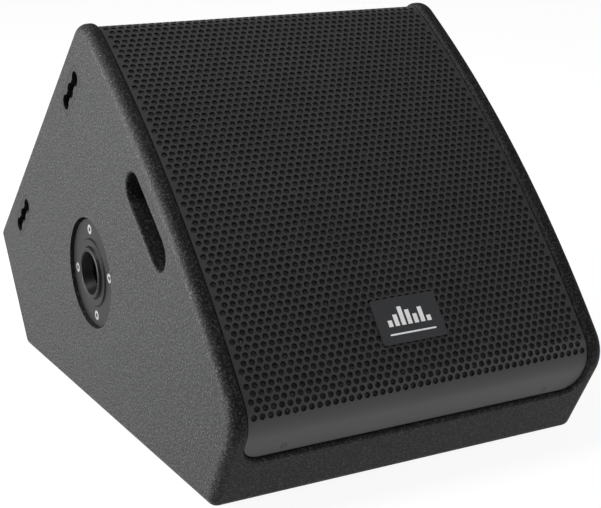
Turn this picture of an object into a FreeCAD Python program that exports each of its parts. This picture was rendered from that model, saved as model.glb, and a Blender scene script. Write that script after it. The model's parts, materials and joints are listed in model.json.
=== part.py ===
import FreeCAD, Part
import math
import os
from FreeCAD import Placement, Rotation, Vector

# Stage monitor wedge: a plywood cabinet with a curved perforated front, a coaxial 12 inch
# driver behind it and a power amplifier in its back. Millimetres. X is to the right seen
# from the front, Y to the back, Z up. The origin is on the floor, in the middle of the box.

# --- the cabinet's side outline: five sides, met by rounded corners -------------------
cabinet_width = 408.0
panel = 18.0                # plywood of every outer panel
bottom_length = 505.0       # corner B, front, to corner C, back
rear_lower_length = 144.3   # C to D
rear_lower_angle = 57.7     # degrees above the floor
rear_upper_length = 413.0   # D to the apex T
rear_upper_angle = 135.8
front_lower_length = 107.4  # B to the nose N
front_lower_angle = 118.95
front_radius = 1230.0       # the grille's face, T to N, bulges to this radius
corner_radius = {"B": 10.0, "C": 9.0, "D": 9.0, "T": 30.0, "N": 35.0}
side_round = 10.0           # round along the outside edge of each side panel
rim_round = 4.5             # round along the edge of the grille's recess

# --- grille and what is on it ----------------------------------------------------------
grille_sink = 3.5           # the sheet's face under the cabinet's face
grille_sheet = 1.5
grille_side_gap = 0.75
grille_end_gap = 2.0
strip_length = 48.0         # plain strip below the nose
strip_corner = 18.0
grille_tail = 42.0          # how far the sheet runs down the back, from the corner T
seat_gap = 0.2              # between the sheet and the wood under it
foam_thickness = 4.0
foam_gap = 0.1
foam_side_gap = 2.0
badge_width, badge_height, badge_thickness = 70.0, 45.0, 2.0
badge_up = 49.0             # badge centre above the nose, along the sheet
grille_screw_in = 41.0      # screws in from each end of the strip
grille_screw_up = 7.5       # and up from its lower edge
grille_screw_length = 10.0

# --- handles, pole cup and fly tracks in the side panels ----------------------------------
handle_length, handle_width = 106.0, 35.0
handle_back, handle_height, handle_angle = 130.5, 236.0, 41.0
handle_round = 3.0
pole_back, pole_height = 280.0, 147.4
pole_recess_diameter, pole_flange_diameter, pole_flange_sink = 116.0, 111.0, 3.5
pole_flange_thickness = 3.0
pole_bore_diameter, pole_bore_length = 36.0, 75.0
pole_wall = 4.0
pole_funnel = 7.0
pole_screw_circle, pole_screw_turn = 90.0, 53.0
track_length, track_width, track_depth, track_corner = 60.0, 23.5, 11.0, 5.5
track_gap = 0.4
track_seat_diameter, track_pitch, track_slot = 16.0, 20.0, 9.5
track_lip, track_channel_depth, track_channel_width = 2.5, 8.0, 18.0
track_from_edge = 36.0      # centreline to the sloping back edge
track_from_apex = (76.0, 319.0)
nut_plate_length, nut_plate_width, nut_plate_thickness = 40.0, 20.0, 4.0

# --- baffle and driver --------------------------------------------------------------------
baffle_sink = 40.0          # baffle face under the straight line from nose to apex
baffle_board = 18.0
driver_up = 256.0           # driver centre above the nose, along that line
flange_diameter, bolt_inset, flange_landing = 315.0, 8.5, 16.0
flange_thickness, gasket_thickness = 7.0, 1.5
basket_wall, basket_depth = 4.0, 90.0
basket_foot_radius = 76.0
spoke_count = 6
window_width, window_low, window_high = 56.0, 72.0, 22.0
ledge_drop = 2.5
surround_width, surround_skin, surround_seat = 25.5, 1.1, 0.5
cone_neck, cone_skin, cone_depth = 38.8, 1.5, 56.0
coil_radius, coil_wall, coil_length, coil_winding = 38.7, 0.7, 47.0, 0.8
magnet_radius, magnet_height, plate_height, back_height = 80.0, 20.0, 8.0, 10.0
magnet_bore = 48.0
pole_piece_radius, gap_radius = 37.4, 40.2
throat_radius, horn_wall, horn_mouth, horn_rise = 18.0, 3.5, 34.8, 50.0
compression_radius, compression_depth = 50.0, 50.0
port_inner, port_wall, port_depth, port_flange = 33.0, 3.0, 58.0, 42.0
port_across, port_up = 132.0, 54.0

# --- amplifier in the sloping back ------------------------------------------------------------
amp_down = 225.0            # plate centre below the apex, along the back
amp_width, amp_height, amp_plate_thickness, amp_corner = 300.0, 210.0, 3.0, 8.0
amp_edge = 17.0             # landing of the plate on the wood
chassis_depth, chassis_wall, chassis_gap = 68.0, 1.5, 3.0
heatsink_width, heatsink_height, heatsink_base, fin_rise = 120.0, 176.0, 4.0, 14.0
fin_count, fin_thickness = 13, 2.0
heatsink_across = -78.0
row_inputs, row_controls, row_mains = 62.0, 18.0, -52.0
across_left, across_middle, across_right = 22.0, 68.0, 114.0
running = 0.3               # clearance round what turns or slides

# --- small things -------------------------------------------------------------------------------
foot_radius, foot_height, foot_seat = 16.0, 4.0, 3.0
foot_inset_x, foot_inset_front, foot_inset_back = 40.0, 45.0, 45.0
batten = 20.0
batten_gap = 2.0
brace_height, brace_back = 60.0, 400.0
wadding_thickness = 20.0
cable_radius = 2.5

half_width = cabinet_width / 2
bolt_circle = flange_diameter - bolt_inset * 2
cutout_diameter = flange_diameter - flange_landing * 2
surround_outer = cutout_diameter / 2 + surround_seat
surround_inner = surround_outer - surround_width
cone_rim = surround_inner - surround_seat
half_inside = half_width - panel


# ------------------------------------------------------------------ the side outline
def ray(length, angle):
    turn = math.radians(angle)
    return Vector(0, length * math.cos(turn), length * math.sin(turn))


corner_b = Vector(0, 0, 0)
corner_c = corner_b + Vector(0, bottom_length, 0)
corner_d = corner_c + ray(rear_lower_length, rear_lower_angle)
corner_t = corner_d + ray(rear_upper_length, rear_upper_angle)
corner_n = corner_b + ray(front_lower_length, front_lower_angle)
chord = corner_t - corner_n
chord_up = Vector(chord).normalize()
chord_out = Vector(0, -chord_up.z, chord_up.y)
arc_centre = (corner_t + corner_n) * 0.5 - chord_out * math.sqrt(front_radius ** 2 - chord.Length ** 2 / 4)

sides = {
    "bottom": (corner_b, corner_c),
    "rear_lower": (corner_c, corner_d),
    "rear_upper": (corner_d, corner_t),
    "front_lower": (corner_n, corner_b),
}
meeting = {
    "B": ("front_lower", "bottom"),
    "C": ("bottom", "rear_lower"),
    "D": ("rear_lower", "rear_upper"),
    "T": ("rear_upper", "front"),
    "N": ("front", "front_lower"),
}


def along(side):
    start, end = sides[side]
    return (end - start).normalize()


def inward(side):
    d = along(side)
    return Vector(0, -d.z, d.y)


def corner(name, inset):
    """Where the two sides of a corner meet once both are moved inwards."""
    first, second = meeting[name]
    if "front" not in (first, second):
        p, d = sides[first][0] + inward(first) * inset, along(first)
        q, e = sides[second][0] + inward(second) * inset, along(second)
        t = ((q - p).y * e.z - (q - p).z * e.y) / (d.y * e.z - d.z * e.y)
        return p + d * t
    straight = first if second == "front" else second
    p, d = sides[straight][0] + inward(straight) * inset, along(straight)
    reach = d.dot(arc_centre - p)
    half = math.sqrt((front_radius - inset) ** 2 - (p + d * reach - arc_centre).Length ** 2)
    ends = [p + d * (reach - half), p + d * (reach + half)]
    near = corner_t if name == "T" else corner_n
    return min(ends, key=lambda point: (point - near).Length)


def corner_points(name, inset):
    """Start, middle and end of a rounded corner, or its one sharp point."""
    radius = corner_radius[name]
    if radius <= inset:
        return [corner(name, inset)]
    centre = corner(name, radius)
    normals = []
    for side in meeting[name]:
        away = (centre - arc_centre).normalize() if side == "front" else inward(side) * -1
        normals.append(away)
    middle = (normals[0] + normals[1]).normalize()
    reach = radius - inset
    return [centre + normals[0] * reach, centre + middle * reach, centre + normals[1] * reach]


def front_arc(start, end):
    middle = ((start + end) * 0.5 - arc_centre).normalize() * (start - arc_centre).Length + arc_centre
    return Part.Arc(start, middle, end).toShape()


def line(start, end):
    return Part.LineSegment(start, end).toShape()


def outline(inset):
    points = {name: corner_points(name, inset) for name in meeting}
    edges = []
    for name, following in zip("BCDTN", "CDTNB"):
        if len(points[name]) == 3:
            edges.append(Part.Arc(*points[name]).toShape())
        join = front_arc if name == "T" else line
        edges.append(join(points[name][-1], points[following][0]))
    return Part.Face(Part.Wire(edges))


def sheet_path(inset, low, tail):
    """Edges from the back of the apex, over the front, to below the nose."""
    apex, nose = corner_points("T", inset), corner_points("N", inset)
    top = corner_t - along("rear_upper") * tail + inward("rear_upper") * inset
    end = corner_n + along("front_lower") * low + inward("front_lower") * inset
    return [line(top, apex[0]), Part.Arc(*apex).toShape(), front_arc(apex[2], nose[0]),
            Part.Arc(*nose).toShape(), line(nose[2], end)]


def sheet_band(outer, inner, low, tail, reach, low_corner, tail_corner):
    """A sheet that follows the front between two insets, with its corners rounded."""
    first, second = sheet_path(outer, low, tail), sheet_path(inner, low, tail)
    ends = [line(first[0].Vertexes[0].Point, second[0].Vertexes[0].Point),
            line(first[-1].Vertexes[-1].Point, second[-1].Vertexes[-1].Point)]
    face = Part.Face(Part.Wire(Part.__sortEdges__(first + second + ends)))
    solid = across(face, -reach, reach)
    for side, limit, radius in (("front_lower", low, low_corner), ("rear_upper", -tail, tail_corner)):
        at = (corner_n if side == "front_lower" else corner_t) + along(side) * limit
        picked = [e for e in solid.Edges if abs(abs(e.CenterOfMass.x) - reach) < 0.001
                  and abs((e.CenterOfMass - at).dot(along(side))) < 0.001
                  and (e.CenterOfMass - at).Length < reach + abs(outer) + abs(inner)
                  and abs(e.tangentAt(e.FirstParameter).dot(inward(side))) > 0.99]
        solid = solid.makeFillet(radius, picked)
    return solid


# ------------------------------------------------------------------ shape helpers
def across(face, start, end):
    moved = face.copy()
    moved.translate(Vector(start, 0, 0))
    return moved.extrude(Vector(end - start, 0, 0))


def polygon(points):
    return Part.Face(Part.makePolygon(list(points) + [points[0]]))


def turned(points):
    """A ring or disc: its half section as (radius, height) points, turned about Z."""
    face = polygon([Vector(radius, 0, height) for radius, height in points])
    return face.revolve(Vector(0, 0, 0), Vector(0, 0, 1), 360)


def ring(inner, outer, low, high):
    return turned([(inner, low), (outer, low), (outer, high), (inner, high)])


def disc(radius, low, high, x=0.0, y=0.0):
    return Part.makeCylinder(radius, high - low, Vector(x, y, low))


def box(width, height, low, high, x=0.0, y=0.0):
    return Part.makeBox(width, height, high - low, Vector(x - width / 2, y - height / 2, low))


def round_box(width, height, low, high, radius, x=0.0, y=0.0):
    solid = box(width, height, low, high, x, y)
    upright = [e for e in solid.Edges if abs(e.tangentAt(e.FirstParameter).z) > 0.99]
    return solid.makeFillet(radius, upright)


def stadium(length, width, low, high, x=0.0, y=0.0):
    straight = (length - width) / 2
    solid = box(straight * 2, width, low, high, x, y)
    for end in (-straight, straight):
        solid = solid.fuse(disc(width / 2, low, high, x + end, y))
    return solid.removeSplitter()


def together(shapes):
    shapes = list(shapes)
    return shapes[0] if len(shapes) == 1 else Part.makeCompound(shapes)


def union(shapes):
    return shapes[0].multiFuse(shapes[1:]).removeSplitter()


def moved(shape, offset):
    copy = shape.copy()
    copy.translate(offset)
    return copy


def seated(shape, origin, up, out):
    """Turn a piece built on XY so that its Y is up and its Z is out."""
    copy = shape.copy()
    copy.Placement = Placement(origin, Rotation(up.cross(out), up, out, "ZXY")).multiply(copy.Placement)
    return copy


def drilled(shape, screws):
    """Make room for sunk screws; what would stay in their sockets goes too."""
    return max(shape.cut(screws).Solids, key=lambda solid: solid.Volume)


def mirrored(shape):
    return shape.mirror(Vector(0, 0, 0), Vector(1, 0, 0))


def circle_of(count, radius, first=0.0):
    for step in range(count):
        turn = math.radians(first + step * 360.0 / count)
        yield radius * math.cos(turn), radius * math.sin(turn)


def cap_screw(head_radius, head_height, shank_radius, length):
    """Socket-head screw standing on z = 0, its shank below."""
    head = disc(head_radius, 0, head_height).cut(disc(head_radius * 0.5, head_height * 0.4, head_height))
    return head.fuse(disc(shank_radius, -length, 0)).removeSplitter()


def flat_screw(head_radius, head_height, shank_radius, length):
    """Countersunk screw with its head's face on z = 0."""
    socket = disc(head_radius * 0.45, -head_height * 0.6, 0)
    body = turned([(0, 0), (head_radius, 0), (shank_radius, -head_height), (shank_radius, -length), (0, -length)])
    return body.cut(socket)


def on_side(shape, back, height, angle=0.0):
    """Seat a piece on the left side's face: its X runs up the side at this angle."""
    out = Vector(-1, 0, 0)
    x_axis = ray(1.0, angle)
    origin = Vector(-half_width, back, height)
    return seated(shape, origin, out.cross(x_axis), out)


def on_baffle(shape):
    origin = corner_n + chord_up * driver_up - chord_out * baffle_sink
    return seated(shape, origin, chord_up, chord_out)


def on_back(shape):
    origin = corner_t - along("rear_upper") * amp_down
    return seated(shape, origin, along("rear_upper"), inward("rear_upper") * -1)


# ------------------------------------------------------------------ cabinet
recess_floor = grille_sink + grille_sheet + seat_gap
strip_end = strip_length + grille_end_gap
tail_end = grille_tail + grille_end_gap


def cabinet_block():
    """The whole outside as one block with its rounds and the grille's recess."""
    block = across(outline(0), -half_width, half_width)
    rims = [e for e in block.Edges if abs(abs(e.CenterOfMass.x) - half_width) < 0.001]
    block = block.makeFillet(side_round, rims)
    recess = sheet_band(-side_round, recess_floor, strip_end, tail_end, half_inside,
                        strip_corner + grille_end_gap, panel / 2)
    cut = block.cut(recess)
    edge = [e for e in cut.Edges if on_both(e, block, recess)]
    return cut.makeFillet(rim_round, edge)


def on_both(edge, block, recess):
    middle = Part.Vertex(edge.valueAt((edge.FirstParameter + edge.LastParameter) / 2))
    return all(middle.distToShape(shell)[0] < 0.001 for shell in (block.Shells[0], recess.Shells[0]))


def panel_between(block, first, second):
    """The board of one side, mitred at the corners it runs between."""
    points = [corner(first, 0), corner(second, 0), corner(second, panel), corner(first, panel)]
    spread = across(polygon(points), -half_inside, half_inside)
    return block.common(spread)


def handle_hole():
    hole = stadium(handle_length, handle_width, -panel - 1, 1)
    return hole.fuse(rounded_mouth(handle_length, handle_width, handle_round)).removeSplitter()


def rounded_mouth(length, width, radius):
    """What a quarter-round bit takes off the edge of a slot."""
    board = box(length + 6 * radius, width + 6 * radius, -3 * radius, 0)
    board = board.cut(stadium(length, width, -4 * radius, 1))
    sharp = [e for e in board.Edges if abs(e.CenterOfMass.z) < 0.001
             and abs(e.CenterOfMass.y) <= width / 2 + 0.01 and abs(e.CenterOfMass.x) <= length / 2 + 0.01]
    soft = board.makeFillet(radius, sharp)
    return board.cut(soft)


def baffle_board_shape():
    """The board behind the grille, from the nose's board to the back's, before its holes."""
    low, high = [], []
    for depth in (baffle_sink, baffle_sink + baffle_board):
        start = corner_n - chord_out * depth
        for side, points in (("front_lower", low), ("rear_upper", high)):
            inner = sides[side][0] + inward(side) * panel
            reach = (inner - start).dot(inward(side)) / chord_up.dot(inward(side))
            points.append(start + chord_up * reach)
    return across(polygon([low[0], high[0], high[1], low[1]]), -half_inside, half_inside)


def battens():
    """Glue blocks in the three lower inside corners."""
    blocks = []
    for name, first, second in (("B", "front_lower", "bottom"), ("C", "bottom", "rear_lower"),
                                ("D", "rear_lower", "rear_upper")):
        inner = corner(name, panel)
        points = [inner, inner + along(second) * batten, inner - along(first) * batten]
        blocks.append(across(polygon(points), -half_inside + batten_gap, half_inside - batten_gap))
    return together(blocks)


def brace():
    board = Part.makeBox(2 * half_inside, panel, brace_height, Vector(-half_inside, brace_back, panel))
    return board


def foot_places():
    for x in (-half_width + foot_inset_x, half_width - foot_inset_x):
        for back in (foot_inset_front, bottom_length - foot_inset_back):
            yield Vector(x, back, 0)


def foot():
    body = turned([(0, -foot_height), (foot_radius - 2, -foot_height), (foot_radius, -foot_height + 2),
                   (foot_radius, foot_seat), (0, foot_seat)])
    return body.cut(disc(5.2, -foot_height, -0.4))


def foot_screw():
    screw = cap_screw(5.0, 2.0, 2.0, 14.0)
    return moved(screw.rotate(Vector(0, 0, 0), Vector(1, 0, 0), 180), Vector(0, 0, -0.4))


# ------------------------------------------------------------------ grille and badge
def grille():
    return sheet_band(grille_sink, grille_sink + grille_sheet, strip_length, grille_tail,
                      half_inside - grille_side_gap, strip_corner, panel / 2)


def grille_foam(boards):
    inset = grille_sink + grille_sheet + foam_gap
    outer = sheet_path(inset, 0, grille_tail - foam_side_gap)
    inner = sheet_path(inset + foam_thickness, 0, grille_tail - foam_side_gap)
    ends = [line(outer[0].Vertexes[0].Point, inner[0].Vertexes[0].Point),
            line(outer[3].Vertexes[-1].Point, inner[3].Vertexes[-1].Point)]
    face = Part.Face(Part.Wire(Part.__sortEdges__(outer[:4] + inner[:4] + ends)))
    reach = half_inside - grille_side_gap - foam_side_gap
    return across(face, -reach, reach).cut(boards)


def grille_screw_places():
    at = corner_n + along("front_lower") * (strip_length - grille_screw_up)
    at = at + inward("front_lower") * grille_sink
    edge = half_inside - grille_side_gap
    return [at + Vector(x, 0, 0) for x in (-edge + grille_screw_in, edge - grille_screw_in)]


def grille_screws():
    screw = flat_screw(3.4, 1.3, 1.6, grille_screw_length)
    out = inward("front_lower") * -1
    return together(seated(screw, at, along("front_lower") * -1, out) for at in grille_screw_places())


def badge():
    nose = corner_points("N", grille_sink)[0]
    start = math.atan2(nose.z - arc_centre.z, nose.y - arc_centre.y)
    inner, outer = front_radius - grille_sink + 0.1, front_radius - grille_sink + badge_thickness
    spread = badge_height / 2 / front_radius
    middle = start - badge_up / front_radius

    def point(radius, turn):
        return arc_centre + Vector(0, radius * math.cos(turn), radius * math.sin(turn))

    low, high = middle + spread, middle - spread
    edges = [Part.Arc(point(outer, low), point(outer, middle), point(outer, high)).toShape(),
             line(point(outer, high), point(inner, high)),
             Part.Arc(point(inner, high), point(inner, middle), point(inner, low)).toShape(),
             line(point(inner, low), point(outer, low))]
    plate = across(Part.Face(Part.Wire(edges)), -badge_width / 2, badge_width / 2)
    normal = (point(outer, middle) - point(inner, middle)).normalize()
    upright = [e for e in plate.Edges if abs(e.tangentAt(e.FirstParameter).dot(normal)) > 0.95]
    return plate.makeFillet(2.5, upright)


# ------------------------------------------------------------------ pole cup and fly tracks
def pole_cup():
    bore, tube = pole_bore_diameter / 2, pole_bore_diameter / 2 + pole_wall
    face, lip, step = -pole_flange_sink, bore + 7.0, bore + 18.0
    end = -pole_flange_sink - pole_funnel - pole_bore_length
    section = [(pole_flange_diameter / 2, face - pole_flange_thickness), (pole_flange_diameter / 2, face),
               (step, face), (step - 1.5, face + 1.5), (lip + 3.0, face + 1.5), (lip + 1.5, face + 4.0),
               (lip - 0.5, face + 4.6), (lip - 2.5, face + 4.0), (bore, face - pole_funnel),
               (bore, end), (0, end), (0, end - pole_wall), (tube, end - pole_wall),
               (tube, face - pole_flange_thickness - 6.0), (tube + 4.0, face - pole_flange_thickness)]
    return turned(section)


def pole_screw():
    return flat_screw(5.0, 2.6, 2.2, 9.0)


def pole_screws():
    sink = -pole_flange_sink
    spots = circle_of(4, pole_screw_circle / 2, pole_screw_turn)
    return together(moved(pole_screw(), Vector(x, y, sink)) for x, y in spots)


def pole_pocket():
    sunk = -pole_flange_sink - pole_flange_thickness
    through = disc(pole_bore_diameter / 2 + pole_wall + 5.0, -panel - 1, 1)
    return disc(pole_recess_diameter / 2, sunk, 1).fuse(through)


def fly_track():
    body = round_box(track_length, track_width, -track_depth, 0, track_corner)
    seats = [disc(track_seat_diameter / 2, -track_channel_depth, 1, x) for x in (-track_pitch, 0, track_pitch)]
    slot = stadium(2 * track_pitch + track_slot, track_slot, -track_channel_depth, 1)
    channel = stadium(2 * track_pitch + track_channel_width, track_channel_width,
                      -track_channel_depth, -track_lip)
    return body.cut(union(seats + [slot, channel]))


def track_pocket():
    return round_box(track_length + 2 * track_gap, track_width + 2 * track_gap, -track_depth, 1,
                     track_corner + track_gap)


def track_screws():
    """One in each seat; the two towards the back reach the nut plate inside."""
    through = panel - track_channel_depth + nut_plate_thickness
    short = panel - track_channel_depth - 0.5
    screws = []
    for x, length in ((track_pitch, short), (0, through), (-track_pitch, through)):
        screws.append(moved(cap_screw(4.5, 2.4, 2.5, length), Vector(x, 0, -track_channel_depth)))
    return together(screws)


def nut_plate():
    return round_box(nut_plate_length, nut_plate_width, -panel - nut_plate_thickness, -panel, 3.0,
                     -track_pitch / 2)


def at_track(shape, down):
    """Seat a piece on the left side at one fly track, its X running up the back."""
    at = corner_t - along("rear_upper") * down + inward("rear_upper") * track_from_edge
    return on_side(shape, at.y, at.z, rear_upper_angle)


# ------------------------------------------------------------------ driver
flange_low = gasket_thickness
flange_high = gasket_thickness + flange_thickness
ledge = flange_high - ledge_drop
magnet_top = -basket_depth - plate_height
magnet_low = magnet_top - magnet_height
back_low = magnet_low - back_height


def basket():
    foot, wall, floor = basket_foot_radius, basket_wall, -basket_depth
    inner, outer = cutout_diameter / 2 - 1.0, flange_diameter / 2
    section = [(outer, flange_low), (outer, flange_high), (surround_outer + 0.2, flange_high),
               (surround_outer + 0.2, ledge), (inner - wall, ledge), (inner - wall, -15.0),
               (foot - wall, floor + 13.5), (foot - wall, floor + wall), (magnet_bore - wall, floor + wall),
               (magnet_bore - wall, floor), (foot, floor), (foot, floor + 11.0),
               (inner, -17.0), (inner, flange_low)]
    shape = turned(section)
    window = round_box(window_width, window_low - window_high, 80.0, inner + 5.0, 10.0)
    window.rotate(Vector(0, 0, 0), Vector(0, 1, 0), 90)
    window.rotate(Vector(0, 0, 0), Vector(1, 0, 0), 90)
    window.translate(Vector(0, 0, -(window_low + window_high) / 2))
    for step in range(spoke_count):
        turn = window.copy()
        turn.rotate(Vector(0, 0, 0), Vector(0, 0, 1), step * 360.0 / spoke_count)
        shape = shape.cut(turn)
    return shape


def surround():
    """A half roll standing on the basket's ledge, its foot and lip flat."""
    middle, radius = (surround_inner + surround_outer - 0.5) / 2, (surround_outer - surround_inner) / 2 - 1.6
    roll = Part.makeTorus(middle, radius, Vector(0, 0, ledge)).cut(
        Part.makeTorus(middle, radius - surround_skin, Vector(0, 0, ledge)))
    roll = roll.cut(disc(surround_outer + 5, ledge - 2 * radius, ledge))
    foot = ring(middle + radius - surround_skin, surround_outer, ledge, ledge + surround_skin)
    lip = ring(surround_inner, middle - radius + surround_skin, ledge, ledge + surround_skin)
    return union([roll, foot, lip])


def cone():
    rim, neck, low = cone_rim, cone_neck, ledge + 1.0 - cone_depth
    return turned([(rim, ledge + 1.0), (rim - 4.0, ledge + 1.0), (neck, low + 4.0), (neck, low),
                   (neck + cone_skin, low), (neck + cone_skin, low + 2.5), (rim - 3.4, ledge - 0.5),
                   (rim, ledge - 0.5)])


def voice_coil():
    top = ledge + 1.0 - cone_depth + 2.0
    former = ring(coil_radius - coil_wall, coil_radius, top - coil_length, top)
    winding = ring(coil_radius - coil_wall / 2, coil_radius + coil_winding, top - coil_length + 1,
                   top - coil_length + 9)
    return union([former, winding])


def spider():
    """A corrugated disc between the voice coil and the basket."""
    inner, outer, level = coil_radius + 1.3, basket_foot_radius - basket_wall - 0.3, -basket_depth + 16.5
    steps = 12
    upper = []
    for step in range(steps + 1):
        radius = inner + (outer - inner) * step / steps
        upper.append((radius, level + (1.5 if step % 2 else 0.0)))
    lower = [(radius, height - 0.8) for radius, height in reversed(upper)]
    return turned(upper + lower)


def magnet_plate():
    return ring(gap_radius, basket_foot_radius, magnet_top, -basket_depth)


def magnet():
    return ring(magnet_bore, magnet_radius, magnet_low, magnet_top)


def pole_piece():
    hole = throat_radius + horn_wall + running
    return turned([(hole, back_low), (basket_foot_radius, back_low), (basket_foot_radius, magnet_low),
                   (pole_piece_radius, magnet_low), (pole_piece_radius, -basket_depth),
                   (hole, -basket_depth)])


def horn():
    top = -basket_depth + horn_rise
    wall = 2.0
    return turned([(throat_radius, back_low), (throat_radius + horn_wall, back_low),
                   (throat_radius + horn_wall, -basket_depth), (horn_mouth, top - 12.0),
                   (horn_mouth + wall, top), (horn_mouth, top), (horn_mouth - 1.7, top - 12.0),
                   (throat_radius, -basket_depth)])


def compression_driver():
    radius, low = compression_radius, back_low - compression_depth
    return turned([(throat_radius, back_low), (radius, back_low), (radius, back_low - 22.0),
                   (radius - 4.0, back_low - 28.0), (radius - 4.0, low + 6.0), (radius - 10.0, low),
                   (0, low), (0, back_low - 12.0), (throat_radius, back_low - 12.0)])


def woofer_screws():
    length = flange_high + baffle_board
    spots = circle_of(8, bolt_circle / 2, 22.5)
    return together(moved(cap_screw(5.0, 5.0, 3.0, length), Vector(x, y, flange_high)) for x, y in spots)


def port(side):
    tube, bore = port_inner + port_wall, port_inner
    shape = turned([(tube, 0), (port_flange, 0), (port_flange, 1.5), (port_flange - 1.5, 3.0),
                    (bore + 5.0, 3.0), (bore, -2.0), (bore, -port_depth), (tube, -port_depth)])
    return moved(shape, Vector(side * port_across, port_up - driver_up, 0))


# ------------------------------------------------------------------ amplifier
plate_low = -amp_plate_thickness
chassis_width = amp_width - 2 * amp_edge - 2 * chassis_gap
chassis_height = amp_height - 2 * amp_edge - 2 * chassis_gap
chassis_low = plate_low - chassis_depth
chassis_floor = chassis_low + chassis_wall


def amp_opening():
    rebate = round_box(amp_width + 0.6, amp_height + 0.6, plate_low, 30, amp_corner + 0.3)
    hole = box(amp_width - 2 * amp_edge, amp_height - 2 * amp_edge, -panel - 5, 1)
    return rebate.fuse(hole)


def amp_screws():
    screw = flat_screw(3.6, 1.8, 1.8, 11.0)
    wide, tall = amp_width / 2 - amp_edge / 2, amp_height / 2 - amp_edge / 2
    spots = [(x, y) for y in (-tall, tall) for x in (-wide, -wide / 3, wide / 3, wide)]
    spots += [(x, 0.0) for x in (-wide, wide)]
    return together(moved(screw, Vector(x, y, 0)) for x, y in spots)


def chassis():
    wall = chassis_wall
    shell = box(chassis_width, chassis_height, chassis_low, plate_low)
    return shell.cut(box(chassis_width - 2 * wall, chassis_height - 2 * wall, chassis_floor, plate_low))


def heatsink():
    base = box(heatsink_width, heatsink_height, 0, heatsink_base)
    pitch = (heatsink_width - fin_thickness) / (fin_count - 1)
    fins = [box(fin_thickness, heatsink_height, heatsink_base, heatsink_base + fin_rise,
                (step - (fin_count - 1) / 2) * pitch) for step in range(fin_count)]
    return moved(union([base] + fins), Vector(heatsink_across, 0, 0))


standoff_height = 8.0
board_thickness = 1.6
board_places = {"amp": (-62.0, 0.0, 116.0, 150.0), "supply": (64.0, 35.0, 116.0, 72.0)}


def board(name, tall):
    """A circuit board with its larger pieces standing on it."""
    x, y, width, height = board_places[name]
    low = chassis_floor + standoff_height
    top = low + board_thickness
    pieces = [box(width, height, low, top, x, y)]
    for across_share, up_share, radius in ((-0.3, 0.3, 7.0), (-0.05, 0.3, 7.0), (0.25, 0.28, 9.0)):
        pieces.append(disc(radius, top, top + tall, x + across_share * width, y + up_share * height))
    pieces.append(box(width * 0.6, 10.0, top, top + tall * 0.8, x, y - 0.3 * height))
    return union(pieces)


def standoffs():
    posts = []
    for x, y, width, height in board_places.values():
        for side in (-1, 1):
            for end in (-1, 1):
                posts.append(disc(3.0, chassis_floor, chassis_floor + standoff_height,
                                  x + side * (width / 2 - 6.0), y + end * (height / 2 - 6.0)))
    return together(posts)


def transformer():
    low = chassis_floor
    return moved(turned([(9.0, low), (30.0, low), (33.0, low + 3.0), (33.0, low + 25.0), (30.0, low + 28.0),
                         (9.0, low + 28.0)]), Vector(76.0, -42.0, 0))


connector_body, connector_depth, connector_flange = 11.8, 20.0, 2.0


def connector(x):
    flange = round_box(26.0, 31.0, 0, connector_flange, 2.5)
    body = disc(connector_body, -connector_depth, 0)
    return moved(flange.fuse(body), Vector(x, row_inputs, 0))


def input_connector():
    groove = ring(8.6, 10.0, -12.0, 5.0)
    pins = [disc(1.3, -10.0, 5.0, x, y) for x, y in circle_of(3, 4.6, 90)]
    window = box(8.0 + 2 * running, 9.0, 0.5, 5.0, 0, 11.5)
    tools = [moved(tool, Vector(across_left, row_inputs, 0)) for tool in [groove, window] + pins]
    return connector(across_left).cut(tools)


def latch():
    tab = union([box(8.0, 4.0, 0.5, 2.0, 0, 11.5), box(8.0, 3.0, 0.5, 3.6, 0, 12.0)])
    return moved(tab, Vector(across_left, row_inputs, 0))


def link_connector():
    shape = connector(across_middle).cut(moved(disc(9.6, -14.0, 5.0), Vector(across_middle, row_inputs, 0)))
    pins = [disc(1.2, -15.0, -3.0, across_middle + x, row_inputs + y) for x, y in circle_of(3, 4.6, 90)]
    return union([shape] + pins)


knob_radius, knob_rise, knob_gap, shaft_radius = 8.0, 13.0, 1.0, 3.0
knob_places = {"level": (across_right, row_inputs), "tone": (across_right, row_controls)}


def knob(name):
    x, y = knob_places[name]
    cap = turned([(0, knob_gap), (knob_radius, knob_gap), (knob_radius - 0.8, knob_rise - 1.2),
                  (knob_radius - 2.0, knob_rise), (0, knob_rise)])
    grips = [disc(1.0, knob_gap - 1, knob_rise + 1, gx, gy) for gx, gy in circle_of(18, knob_radius + 0.35)]
    mark = box(1.0, knob_radius, knob_rise - 0.6, knob_rise + 1, 0, knob_radius / 2)
    shaft = disc(shaft_radius, -8.0, knob_gap)
    return moved(cap.cut(grips + [mark]).fuse(shaft).removeSplitter(), Vector(x, y, 0))


def potentiometers():
    bodies = []
    for x, y in knob_places.values():
        case = union([disc(8.5, -14.0, plate_low), disc(4.8, plate_low, -0.2)])
        bodies.append(moved(case.cut(disc(shaft_radius + running, -9.0, 1)), Vector(x, y, 0)))
    return together(bodies)


button_radius, button_rise = 3.5, 4.0


def ground_button():
    cap = turned([(0, -6.0), (button_radius, -6.0), (button_radius, button_rise - 0.6),
                  (button_radius - 0.6, button_rise), (0, button_rise)])
    return moved(cap, Vector(across_middle, row_controls, 0))


def button_housing():
    bezel = ring(button_radius + running, 6.0, 0, 1.2)
    tube = ring(button_radius + running, 5.0, -12.0, 0)
    floor = disc(5.0, -13.0, -12.0)
    return moved(union([bezel, tube, floor]), Vector(across_middle, row_controls, 0))


def status_lights():
    lens = turned([(0, -6.0), (2.4, -6.0), (2.4, 0), (2.0, 1.2), (0, 1.6)])
    return together(moved(lens, Vector(across_left + x, row_controls, 0)) for x in (-8.0, 0.0, 8.0))


inlet_width, inlet_height = 28.0, 20.0


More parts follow.
